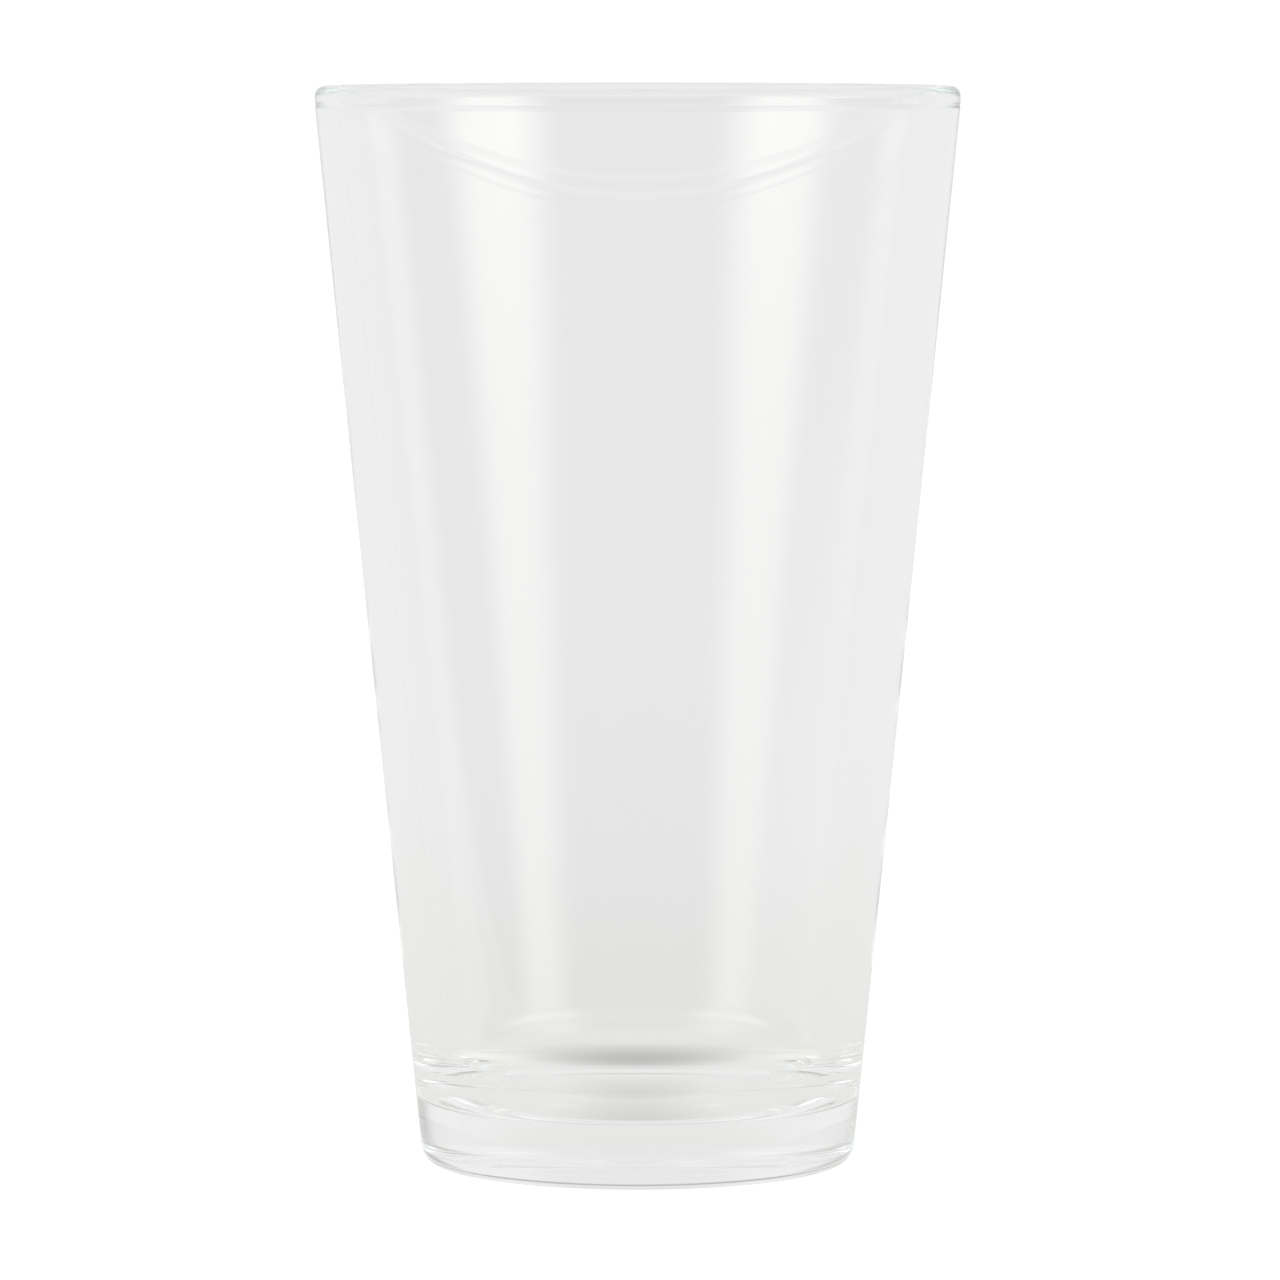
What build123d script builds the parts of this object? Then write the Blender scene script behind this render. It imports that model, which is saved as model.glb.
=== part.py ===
from build123d import *

import os

# A straight-sided conical mixing glass, moulded in one piece from clear soda-lime glass.
#
# The glass is a body of revolution about Z and stands on Z = 0. Its origin is the centre
# of the foot. From the bench up it has a shallow domed recess inside a flat bearing ring,
# a rounded heel, a plain cone that opens towards the mouth, and a short upright band under
# a rounded lip. Inside, a flat floor runs through a large cove into a conical bore that turns
# upright beside the band. The wall gets thicker from the lip down to the floor.
#
# All lengths are in millimetres.

# Driving dimensions: outside
height = 149.2  # 5 7/8 in, bench to the top of the lip
mouth_diameter = 88.9  # 3 1/2 in, over the upright band
foot_diameter = 59.7  # where the cone would meet the bench if the heel were sharp
band_height = 2.6  # upright band, measured down from the top of the lip
band_blend_radius = 1.0  # eases the slight bend between cone and band
heel_radius = 2.7

# Driving dimensions: inside
lip_thickness = 3.0
lip_radius = 1.4  # on both edges of the lip
bore_blend_radius = 4.0  # eases the slight bend where the bore turns upright
floor_wall_thickness = 4.7  # wall at floor level, measured square to the axis
floor_height = 8.3  # bench to the inside floor, the thickness of the solid base
cove_radius = 11.0  # between floor and bore

# Driving dimensions: underside
recess_diameter = 46.0
recess_depth = 1.2
recess_edge_radius = 10.0  # eases the recess into the bearing ring

# Worked out from them
mouth_radius = mouth_diameter / 2
foot_radius = foot_diameter / 2
recess_radius = recess_diameter / 2
band_bottom = height - band_height
cone_slope = (mouth_radius - foot_radius) / band_bottom
bore_top_radius = mouth_radius - lip_thickness
bore_floor_radius = foot_radius + cone_slope * floor_height - floor_wall_thickness

glass_density = 2.5e-3  # g/mm3
mm3_per_ml = 1000.0
level_tolerance = 0.01  # corners this close to a level count as on it


def corners_at(sketch, level):
    """The corners of the section at this level, the one nearest the axis first."""
    lowest, highest = level - level_tolerance, level + level_tolerance
    return sketch.vertices().filter_by_position(Axis.Y, lowest, highest).sort_by(Axis.X)


# The whole glass is one solid, because it is moulded and fire-polished as one piece.
with BuildPart() as glass_body:
    with BuildSketch(Plane.XZ) as section:
        with BuildLine():
            recess = TangentArc((0, recess_depth), (recess_radius, 0), tangent=(1, 0))
            Polyline(
                recess @ 1,
                (foot_radius, 0),
                (mouth_radius, band_bottom),
                (mouth_radius, height),
                (bore_top_radius, height),
                (bore_top_radius, band_bottom),
                (bore_floor_radius, floor_height),
                (0, floor_height),
                recess @ 0,
            )
        make_face()
        fillet(corners_at(section, 0)[-1], heel_radius)
        fillet(corners_at(section, 0)[0], recess_edge_radius)
        fillet(corners_at(section, band_bottom)[-1], band_blend_radius)
        fillet(corners_at(section, band_bottom)[0], bore_blend_radius)
        fillet(corners_at(section, height), lip_radius)
        # The floor's corner on the axis comes first, then the one under the wall.
        fillet(corners_at(section, floor_height)[1], cove_radius)
    revolve(axis=Axis.Z)

glass_body.part.label = "glass_body"

# What the glass holds when it is full to the brim. It isn't a piece of the glass.
with BuildPart() as drink:
    with BuildSketch(Plane.XZ) as drink_section:
        with BuildLine():
            Polyline(
                (0, floor_height),
                (bore_floor_radius, floor_height),
                (bore_top_radius, band_bottom),
                (bore_top_radius, height),
                (0, height),
                close=True,
            )
        make_face()
        fillet(corners_at(drink_section, floor_height)[-1], cove_radius)
    revolve(axis=Axis.Z)

os.makedirs("parts", exist_ok=True)
export_step(glass_body.part, "parts/glass_body.step")

print("mass g", round(glass_body.part.volume * glass_density, 1))
print("brimful capacity ml", round(drink.part.volume / mm3_per_ml, 1))
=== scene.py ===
import math
from collections import namedtuple

import bmesh
import bpy
from mathutils import Matrix, Vector


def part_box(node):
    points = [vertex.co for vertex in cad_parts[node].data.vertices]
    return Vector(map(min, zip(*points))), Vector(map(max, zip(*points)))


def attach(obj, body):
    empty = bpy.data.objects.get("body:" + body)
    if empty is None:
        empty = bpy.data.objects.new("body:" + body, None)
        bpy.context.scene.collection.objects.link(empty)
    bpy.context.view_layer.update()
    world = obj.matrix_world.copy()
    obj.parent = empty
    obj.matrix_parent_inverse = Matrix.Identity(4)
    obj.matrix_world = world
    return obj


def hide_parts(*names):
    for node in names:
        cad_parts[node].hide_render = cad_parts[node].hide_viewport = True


# The looks of a clear conical mixing glass, in the CAD model's own frame: metres, +Z up,
# origin at the centre of the foot, which stands on Z = 0.

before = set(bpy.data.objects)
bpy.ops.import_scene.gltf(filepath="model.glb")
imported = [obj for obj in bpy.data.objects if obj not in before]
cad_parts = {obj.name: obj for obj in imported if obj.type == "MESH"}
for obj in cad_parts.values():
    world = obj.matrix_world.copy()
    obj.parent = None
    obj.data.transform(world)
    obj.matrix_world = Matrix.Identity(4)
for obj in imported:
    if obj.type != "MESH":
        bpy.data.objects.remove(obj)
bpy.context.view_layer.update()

# ---------------------------------------------------------------------------- dimensions

MM = 0.001

# The outside, taken from the CAD node's box.
node_low, node_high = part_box("glass_body")
HEIGHT = node_high.z - node_low.z
MOUTH_RADIUS = (node_high.x - node_low.x) / 2
FOOT_RADIUS = 29.85 * MM  # where the cone would meet the bench if the heel were sharp
BAND_HEIGHT = 2.6 * MM  # upright band under the lip
HEEL_RADIUS = 2.7 * MM

# The fine line that the mould leaves under the band.
MOULD_LINE_DEPTH = 0.12 * MM
MOULD_LINE_REACH = 0.35 * MM  # from its middle to either edge
MOULD_LINE_RADIUS = 0.3 * MM  # at its bottom and both edges

# The inside.
LIP_THICKNESS = 3.0 * MM
LIP_RADIUS = 1.4 * MM
BORE_BLEND_RADIUS = 4.0 * MM  # where the bore turns upright beside the band
FLOOR_WALL_THICKNESS = 4.7 * MM
FLOOR_HEIGHT = 8.3 * MM
COVE_RADIUS = 11.0 * MM

# The underside.
RECESS_RADIUS = 23.0 * MM
RECESS_DEPTH = 1.2 * MM
RECESS_EDGE_RADIUS = 10.0 * MM
RECESS_PLAIN_SHARE = 0.93  # how much of the dome is drawn before its rounded edge
RECESS_STEPS = 12

# How finely the glass is divided, for smooth refraction.
SEGMENTS = 768
ARC_STEP = math.radians(3)
LONGEST_RUN = 2.5 * MM

# ---------------------------------------------------------------------------- camera

FOCAL_LENGTH = 224.6  # in millimetres, as Blender takes it
SENSOR_WIDTH = 36  # in millimetres
SHIFT_X = 0.0018  # of the picture's width
NEAREST_SEEN = 0.05
FARTHEST_SEEN = 50
CAMERA_PLACE = (0, -1.102, 0.1613)
CAMERA_TILT = math.radians(4.6)  # down from level

# ---------------------------------------------------------------------------- glass and scuffs

# Ordinary soda-lime glass, nearly clear, and blue-green only through a great depth of it.
REFRACTIVE_INDEX = 1.52
SURFACE_COLOUR = (0.99, 0.992, 0.99, 1)
DEPTH_COLOUR = (0.45, 0.78, 0.72, 1)
DEPTH_DENSITY = 0.12

# Scuffs on the ring that the glass stands on.
SCUFF_SCALE = 900
SCUFF_DETAIL = 4
SCUFF_HEIGHT = 0.15 * MM
SCUFF_ROUGHNESS = 0.08

# ---------------------------------------------------------------------------- light levels

WHITE = (1, 1, 1, 1)
PAPER_WHITE = 1.05  # bench and studio as the camera sees them
ROOM_LIGHT = 0.86  # bench and studio as the glass sees them, where no patch or spot changes it

# What stands round the glass. Angles are in degrees: round from the camera, towards the right
# (+1), the left (-1) or both, and up from the bench. A start under 0 lets a patch run on across
# the front, and an end past 180 across the back. Each side edge moves round by its lean for
# each degree up, and all edges are soft. A later patch covers an earlier one.
Patch = namedtuple(
    "Patch", "sides start start_lean end end_lean blur bottom top top_blur low_light high_light"
)
TO_THE_BOTTOM = -90
PATCHES = {
    "sweep": Patch((1, -1), 158, 0, 210, 0, 20, TO_THE_BOTTOM, 30, 20, 0.82, 0.82),
    "side_walls": Patch((1, -1), 112, 0, 158, 0, 20, TO_THE_BOTTOM, 24, 12, 0.88, 0.88),
    "right_gap": Patch((1,), 60, 1.4, 109, 1.0, 24, TO_THE_BOTTOM, 18, 10, 0.34, 0.34),
    "left_gap": Patch((-1,), 60, 1.4, 112, 1.4, 30, 3, 18, 10, 0.55, 0.55),
    "front_gap": Patch((1, -1), -20, 0, 50, 0, 20, TO_THE_BOTTOM, 30, 14, 0.22, 0.22),
    "softbox_tops": Patch((1, -1), 40, 0, 75, 0, 26, 13, 32, 12, 1.60, 1.60),
    "softboxes": Patch((1, -1), 48, -0.75, 65, 2.0, 26, TO_THE_BOTTOM, 11, 8, 1.42, 2.90),
}
BOTTOM_BLUR = 3  # degrees
LOW_LIGHT_ELEVATION = 4  # degrees: a patch has its low_light up to here
HIGH_LIGHT_ELEVATION = 12  # degrees: and its high_light from here up
SOFTBOX_WARMTH = (1.0, 0.99, 0.93, 1.0)

# The bench, a disc wide enough to pass for endless, and the soft spots painted on it: middle,
# reach in x and y, and what each multiplies the light by. The spots are painted light and shade:
# a warm painted shade round the glass, painted shade under it, painted shadows behind it, and
# painted pools of light on both sides of its foot.
BENCH_RADIUS = 8.0
BENCH_SEGMENTS = 128
Spot = namedtuple("Spot", "x y reach_x reach_y light")
PAINTED_LIGHT_SPOTS = {
    "painted_warm_shade": Spot(0, 0, 400 * MM, 400 * MM, (0.94, 0.94, 0.915)),
    "long_shade": Spot(0, 300 * MM, 100 * MM, 420 * MM, (0.975, 0.975, 0.975)),
    "painted_shade_under_glass": Spot(0, -12 * MM, 15 * MM, 26 * MM, (0.80, 0.80, 0.785)),
    "painted_shadow_behind_foot": Spot(0, 40 * MM, 25 * MM, 22 * MM, (0.60, 0.60, 0.60)),
    "left_glow": Spot(-28 * MM, 26 * MM, 13 * MM, 15 * MM, (1.12, 1.12, 1.06)),
    "right_glow": Spot(31 * MM, 26 * MM, 13 * MM, 15 * MM, (1.08, 1.08, 1.02)),
    "left_rim_glow": Spot(-33 * MM, 10 * MM, 9 * MM, 16 * MM, (1.20, 1.30, 1.33)),
    "right_rim_glow": Spot(33 * MM, 12 * MM, 9 * MM, 16 * MM, (1.14, 1.27, 1.30)),
}

# Light caught in the wall is reflected hundreds of times before it gets out.
LONGEST_LIGHT_PATH = 1024

# ---------------------------------------------------------------------------- the glass


def rounded_corner(before, corner, after, radius):
    """Points of the arc that replaces a corner of the outline, first to last."""
    towards_before = (before - corner).normalized()
    towards_after = (after - corner).normalized()
    inside_angle = towards_before.angle(towards_after)
    reach = radius / math.tan(inside_angle / 2)
    middle = (towards_before + towards_after).normalized()
    centre = corner + middle * (radius / math.sin(inside_angle / 2))
    start = corner + towards_before * reach - centre
    turn = math.pi - inside_angle
    if start.cross(corner + towards_after * reach - centre) < 0:
        turn = -turn
    steps = max(2, math.ceil(abs(turn) / ARC_STEP))
    return [centre + Matrix.Rotation(turn * i / steps, 2) @ start for i in range(steps + 1)]


def divided(points, longest):
    """The same outline with no step longer than this."""
    out = [points[0]]
    for a, b in zip(points, points[1:]):
        steps = max(1, math.ceil((b - a).length / longest))
        out += [a.lerp(b, i / steps) for i in range(1, steps + 1)]
    return out


def recess_points():
    """The domed recess, from the axis out to a little short of its edge."""
    dome_radius = (RECESS_RADIUS**2 + RECESS_DEPTH**2) / (2 * RECESS_DEPTH)
    edge_angle = math.asin(RECESS_RADIUS / dome_radius)
    last = edge_angle * RECESS_PLAIN_SHARE
    angles = [last * i / RECESS_STEPS for i in range(RECESS_STEPS + 1)]
    drop = dome_radius - RECESS_DEPTH
    return [Vector((dome_radius * math.sin(a), dome_radius * math.cos(a) - drop)) for a in angles]


def glass_outline():
    """Half of the glass's section, as (radius, height), from the underside to the floor."""
    band_bottom = HEIGHT - BAND_HEIGHT
    slope = (MOUTH_RADIUS - FOOT_RADIUS) / band_bottom
    bore_floor_radius = FOOT_RADIUS + slope * FLOOR_HEIGHT - FLOOR_WALL_THICKNESS
    bore_top_radius = MOUTH_RADIUS - LIP_THICKNESS
    line_bottom = (MOUTH_RADIUS - slope * MOULD_LINE_REACH, band_bottom - MOULD_LINE_REACH)
    corners = [
        (Vector((RECESS_RADIUS, 0)), RECESS_EDGE_RADIUS),
        (Vector((FOOT_RADIUS, 0)), HEEL_RADIUS),
        (Vector(line_bottom), MOULD_LINE_RADIUS),
        (Vector((MOUTH_RADIUS - MOULD_LINE_DEPTH, band_bottom)), MOULD_LINE_RADIUS),
        (Vector((MOUTH_RADIUS, band_bottom + MOULD_LINE_REACH)), MOULD_LINE_RADIUS),
        (Vector((MOUTH_RADIUS, HEIGHT)), LIP_RADIUS),
        (Vector((bore_top_radius, HEIGHT)), LIP_RADIUS),
        (Vector((bore_top_radius, band_bottom)), BORE_BLEND_RADIUS),
        (Vector((bore_floor_radius, FLOOR_HEIGHT)), COVE_RADIUS),
    ]
    outline = recess_points()
    floor_middle = Vector((0, FLOOR_HEIGHT))
    # Every corner with the outline's two ends, so that each has one before and one after it.
    stops = [outline[-1]] + [corner for corner, _ in corners] + [floor_middle]
    for before, (corner, radius), after in zip(stops, corners, stops[2:]):
        outline += rounded_corner(before, corner, after, radius)
    return divided(outline + [floor_middle], LONGEST_RUN)


def placed(name, mesh):
    """An object in the scene that has this bmesh as its shape. The bmesh is freed."""
    data = bpy.data.meshes.new(name)
    mesh.to_mesh(data)
    mesh.free()
    obj = bpy.data.objects.new(name, data)
    bpy.context.scene.collection.objects.link(obj)
    return obj


def lathe(name, outline, segments):
    """A closed body of revolution from an outline that starts and ends on the axis."""
    mesh = bmesh.new()
    bottom = mesh.verts.new((0, 0, outline[0].y))
    top = mesh.verts.new((0, 0, outline[-1].y))
    turns = [2 * math.pi * i / segments for i in range(segments)]
    rings = [
        [mesh.verts.new((p.x * math.cos(t), p.x * math.sin(t), p.y)) for t in turns]
        for p in outline[1:-1]
    ]
    for i in range(segments):
        j = (i + 1) % segments
        mesh.faces.new((bottom, rings[0][j], rings[0][i]))
        mesh.faces.new((top, rings[-1][i], rings[-1][j]))
        for lower, upper in zip(rings, rings[1:]):
            mesh.faces.new((lower[i], lower[j], upper[j], upper[i]))
    bmesh.ops.recalc_face_normals(mesh, faces=mesh.faces)
    obj = placed(name, mesh)
    obj.data.shade_smooth()
    return obj


# ---------------------------------------------------------------------------- materials


def new_material(name):
    """An empty node material and its tree."""
    material = bpy.data.materials.new(name)
    material.use_nodes = True
    material.node_tree.nodes.clear()
    return material, material.node_tree


def feed(tree, socket, value):
    """Give a socket its value, or link it to the socket that the value comes from."""
    if isinstance(value, bpy.types.NodeSocket):
        tree.links.new(value, socket)
    else:
        socket.default_value = value


def maths(tree, operation, *values):
    """The output of a Math node on numbers or sockets."""
    node = tree.nodes.new("ShaderNodeMath")
    node.operation = operation
    for socket, value in zip(node.inputs, values):
        feed(tree, socket, value)
    return node.outputs[0]


def vector_maths(tree, operation, *values):
    """The outputs of a Vector Math node on vectors or sockets."""
    node = tree.nodes.new("ShaderNodeVectorMath")
    node.operation = operation
    for socket, value in zip(node.inputs, values):
        feed(tree, socket, value)
    return node.outputs


def smooth_step(tree, value, start, end):
    """0 before start and 1 past end, eased between them."""
    node = tree.nodes.new("ShaderNodeMapRange")
    node.interpolation_type = "SMOOTHSTEP"
    node.inputs["From Min"].default_value = start
    node.inputs["From Max"].default_value = end
    tree.links.new(value, node.inputs["Value"])
    return node.outputs[0]


def mixed(tree, share, without, fully, kind="FLOAT"):
    """A number, or a colour if kind is RGBA, that goes from one value or socket to another as
    share goes from 0 to 1."""
    node = tree.nodes.new("ShaderNodeMix")
    node.data_type = kind
    feed(tree, node.inputs["Factor"], share)
    feed(tree, node.inputs["A"], without)
    feed(tree, node.inputs["B"], fully)
    return node.outputs["Result"]


def tinted(tree, share, without, fully):
    """A colour that goes from one colour or socket to another as share goes from 0 to 1."""
    return mixed(tree, share, without, fully, kind="RGBA")


def white_to(tree, share, tint, directly):
    """White to the camera, and to the glass a colour from white to this tint as share grows."""
    unseen = maths(tree, "SUBTRACT", 1.0, directly)
    return tinted(tree, maths(tree, "MULTIPLY", share, unseen), WHITE, tint)


def scuffed_roughness(tree):
    """Rough in specks on the ring that the glass stands on, and 0 everywhere above it."""
    place = tree.nodes.new("ShaderNodeTexCoord").outputs["Object"]
    split = tree.nodes.new("ShaderNodeSeparateXYZ")
    tree.links.new(place, split.inputs[0])
    above = smooth_step(tree, split.outputs["Z"], 0.0, SCUFF_HEIGHT)
    scuffs = tree.nodes.new("ShaderNodeTexNoise")
    scuffs.inputs["Scale"].default_value = SCUFF_SCALE
    scuffs.inputs["Detail"].default_value = SCUFF_DETAIL
    tree.links.new(place, scuffs.inputs["Vector"])
    scuffed = maths(tree, "MULTIPLY", maths(tree, "SUBTRACT", 1.0, above), scuffs.outputs["Fac"])
    return maths(tree, "MULTIPLY", scuffed, SCUFF_ROUGHNESS)


def clear_glass():
    """Soda-lime glass: fire-polished all over, with a scuffed ring where it stands."""
    material, tree = new_material("clear_glass")
    output = tree.nodes.new("ShaderNodeOutputMaterial")
    glass = tree.nodes.new("ShaderNodeBsdfPrincipled")
    glass.inputs["Transmission Weight"].default_value = 1.0
    glass.inputs["IOR"].default_value = REFRACTIVE_INDEX
    glass.inputs["Base Color"].default_value = SURFACE_COLOUR
    tree.links.new(scuffed_roughness(tree), glass.inputs["Roughness"])
    tree.links.new(glass.outputs["BSDF"], output.inputs["Surface"])
    depth = tree.nodes.new("ShaderNodeVolumeAbsorption")
    depth.inputs["Color"].default_value = DEPTH_COLOUR
    depth.inputs["Density"].default_value = DEPTH_DENSITY
    tree.links.new(depth.outputs[0], output.inputs["Volume"])
    return material


# ---------------------------------------------------------------------------- studio


def studio_camera():
    """The camera of the photograph: a long lens just above the rim, looking slightly down."""
    camera = bpy.data.objects.new("camera", bpy.data.cameras.new("camera"))
    camera.data.lens = FOCAL_LENGTH
    camera.data.sensor_width = SENSOR_WIDTH
    camera.data.shift_x = SHIFT_X
    camera.data.clip_start = NEAREST_SEEN
    camera.data.clip_end = FARTHEST_SEEN
    camera.location = CAMERA_PLACE
    camera.rotation_euler = (math.pi / 2 - CAMERA_TILT, 0, 0)
    bpy.context.scene.collection.objects.link(camera)
    bpy.context.scene.camera = camera


def past_edge(tree, sideways, elevation, edge, lean, blur):
    """0 before a patch's leaning side edge and 1 past it, eased over blur degrees."""
    leaning = maths(tree, "MULTIPLY_ADD", elevation, -lean, sideways)
    return smooth_step(tree, leaning, edge - blur / 2, edge + blur / 2)


def patch_share(tree, patch, across, sideways, elevation):
    """1 inside a patch and 0 outside it, with soft edges."""
    begun = past_edge(tree, sideways, elevation, patch.start, patch.start_lean, patch.blur)
    ended = past_edge(tree, sideways, elevation, patch.end, patch.end_lean, patch.blur)
    share = maths(tree, "MULTIPLY", begun, maths(tree, "SUBTRACT", 1.0, ended))
    under_top = smooth_step(tree, elevation, patch.top + patch.top_blur, patch.top)
    share = maths(tree, "MULTIPLY", share, under_top)
    bottom_start = patch.bottom - BOTTOM_BLUR / 2
    over_bottom = smooth_step(tree, elevation, bottom_start, bottom_start + BOTTOM_BLUR)
    share = maths(tree, "MULTIPLY", share, over_bottom)
    if len(patch.sides) == 1:
        side = "GREATER_THAN" if patch.sides[0] > 0 else "LESS_THAN"
        share = maths(tree, "MULTIPLY", share, maths(tree, side, across, 0.0))
    return share


def studio_world():
    """The studio round the glass: white to the camera, and to the glass a pale room with two
    softboxes in front and dim gaps between and beside them."""
    world = bpy.data.worlds.new("studio")
    bpy.context.scene.world = world
    world.use_nodes = True
    tree = world.node_tree
    tree.nodes.clear()
    coordinates = tree.nodes.new("ShaderNodeTexCoord")
    split = tree.nodes.new("ShaderNodeSeparateXYZ")
    tree.links.new(coordinates.outputs["Generated"], split.inputs[0])
    across, along, up = split.outputs
    forwards = maths(tree, "MULTIPLY", along, -1.0)
    sideways = maths(tree, "ARCTAN2", maths(tree, "ABSOLUTE", across), forwards)
    sideways = maths(tree, "DEGREES", sideways)
    elevation = maths(tree, "DEGREES", maths(tree, "ARCSINE", up))
    ramp = smooth_step(tree, elevation, LOW_LIGHT_ELEVATION, HIGH_LIGHT_ELEVATION)
    shares = {}
    room = ROOM_LIGHT
    for name, patch in PATCHES.items():
        shares[name] = patch_share(tree, patch, across, sideways, elevation)
        light = mixed(tree, ramp, patch.low_light, patch.high_light)
        room = mixed(tree, shares[name], room, light)
    directly = tree.nodes.new("ShaderNodeLightPath").outputs["Is Camera Ray"]
    background = tree.nodes.new("ShaderNodeBackground")
    warmth = white_to(tree, shares["softboxes"], SOFTBOX_WARMTH, directly)
    tree.links.new(warmth, background.inputs["Color"])
    tree.links.new(mixed(tree, directly, room, PAPER_WHITE), background.inputs["Strength"])
    output = tree.nodes.new("ShaderNodeOutputWorld")
    tree.links.new(background.outputs[0], output.inputs["Surface"])


def soft_spot(tree, place, spot):
    """1 at the middle of an oval spot of painted light or shade on the bench, easing to 0 at its
    edge.
    """
    offset = vector_maths(tree, "SUBTRACT", place, (spot.x, spot.y, 0))[0]
    stretched = vector_maths(tree, "DIVIDE", offset, (spot.reach_x, spot.reach_y, 1))[0]
    distance = vector_maths(tree, "LENGTH", stretched)["Value"]
    return smooth_step(tree, distance, 1.0, 0.0)


def white_bench():
    """A bench that gives off its own light: plain white to the camera, and to the glass warm
    white with painted shade, painted shadows and painted pools of light on it."""
    material, tree = new_material("white_bench")
    place = tree.nodes.new("ShaderNodeTexCoord").outputs["Object"]
    colour = WHITE[:3]
    # Paint each spot's shade or light into the bench's glow as the glass sees it.
    for spot in PAINTED_LIGHT_SPOTS.values():
        light = tinted(tree, soft_spot(tree, place, spot), WHITE, (*spot.light, 1))
        colour = vector_maths(tree, "MULTIPLY", colour, light)[0]
    directly = tree.nodes.new("ShaderNodeLightPath").outputs["Is Camera Ray"]
    glow = tree.nodes.new("ShaderNodeEmission")
    tree.links.new(tinted(tree, directly, colour, WHITE), glow.inputs["Color"])
    tree.links.new(mixed(tree, directly, ROOM_LIGHT, PAPER_WHITE), glow.inputs["Strength"])
    output = tree.nodes.new("ShaderNodeOutputMaterial")
    tree.links.new(glow.outputs[0], output.inputs["Surface"])
    return material


def pale_floor():
    """The round bench that the glass stands on."""
    mesh = bmesh.new()
    bmesh.ops.create_circle(mesh, cap_ends=True, radius=BENCH_RADIUS, segments=BENCH_SEGMENTS)
    floor = placed("floor", mesh)
    floor.data.materials.append(white_bench())


# ---------------------------------------------------------------------------- assembly

glass = lathe("mixing_glass", glass_outline(), SEGMENTS)
glass.data.materials.append(clear_glass())
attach(glass, "root")
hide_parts("glass_body")

studio_camera()
studio_world()
pale_floor()

scene = bpy.context.scene
scene.view_settings.view_transform = "Standard"
scene.cycles.max_bounces = LONGEST_LIGHT_PATH
scene.cycles.transmission_bounces = LONGEST_LIGHT_PATH
scene.cycles.glossy_bounces = LONGEST_LIGHT_PATH
